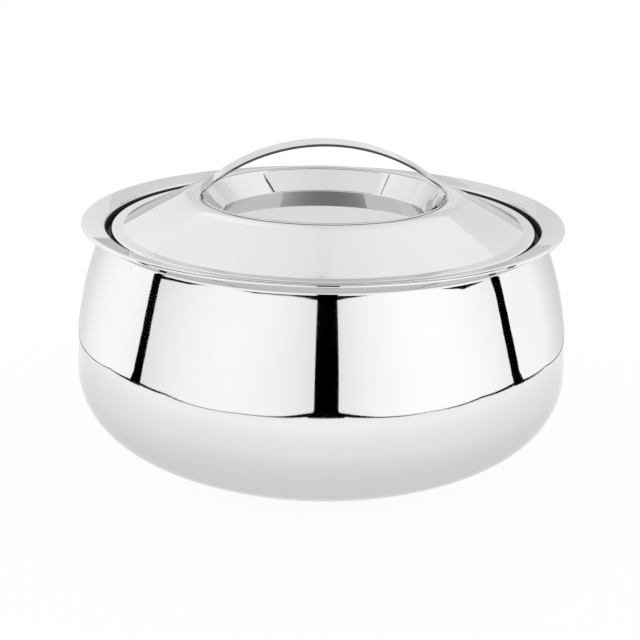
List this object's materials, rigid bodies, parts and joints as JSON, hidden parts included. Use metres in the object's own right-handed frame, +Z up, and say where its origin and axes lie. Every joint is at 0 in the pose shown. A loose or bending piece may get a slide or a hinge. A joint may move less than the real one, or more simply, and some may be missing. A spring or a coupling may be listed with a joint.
{
  "type": "insulated casserole",
  "caption": "Round double-wall steel casserole with a bellied body, a wide flared rim and a drop-in lid whose strap handle arches over a recessed well.",
  "frame": {"origin": "middle of the base plane, on the pot's axis, where the foot ring meets the table", "axes": "+Z up along the pot's axis; the handle's strap runs along X, with its width along Y"},
  "size_m": [0.2386, 0.2386, 0.1499],
  "materials": {
    "polished_steel": "mirror-polished stainless steel",
    "strap_steel": "mirror-polished stainless steel strap with softened edges",
    "base_steel": "turned satin stainless steel",
    "foam": "rigid polyurethane foam, cream",
    "plug_plastic": "moulded black plastic"
  },
  "bodies": {
    "pot": {"outer_shell": "polished_steel", "inner_bowl": "polished_steel", "bowl_insulation": "foam", "base_disc": "base_steel", "base_fill_plug": "plug_plastic"},
    "lid": {"lid_cover": "polished_steel", "lid_liner": "polished_steel", "lid_insulation": "foam", "lid_fill_plug": "plug_plastic", "lid_handle": "strap_steel"}
  },
  "joints": [
    {"name": "lid_lift", "type": "slide", "parent": "pot", "child": "lid", "axis": [0, 0, 1], "range_m": [0, 0.12]}
  ]
}
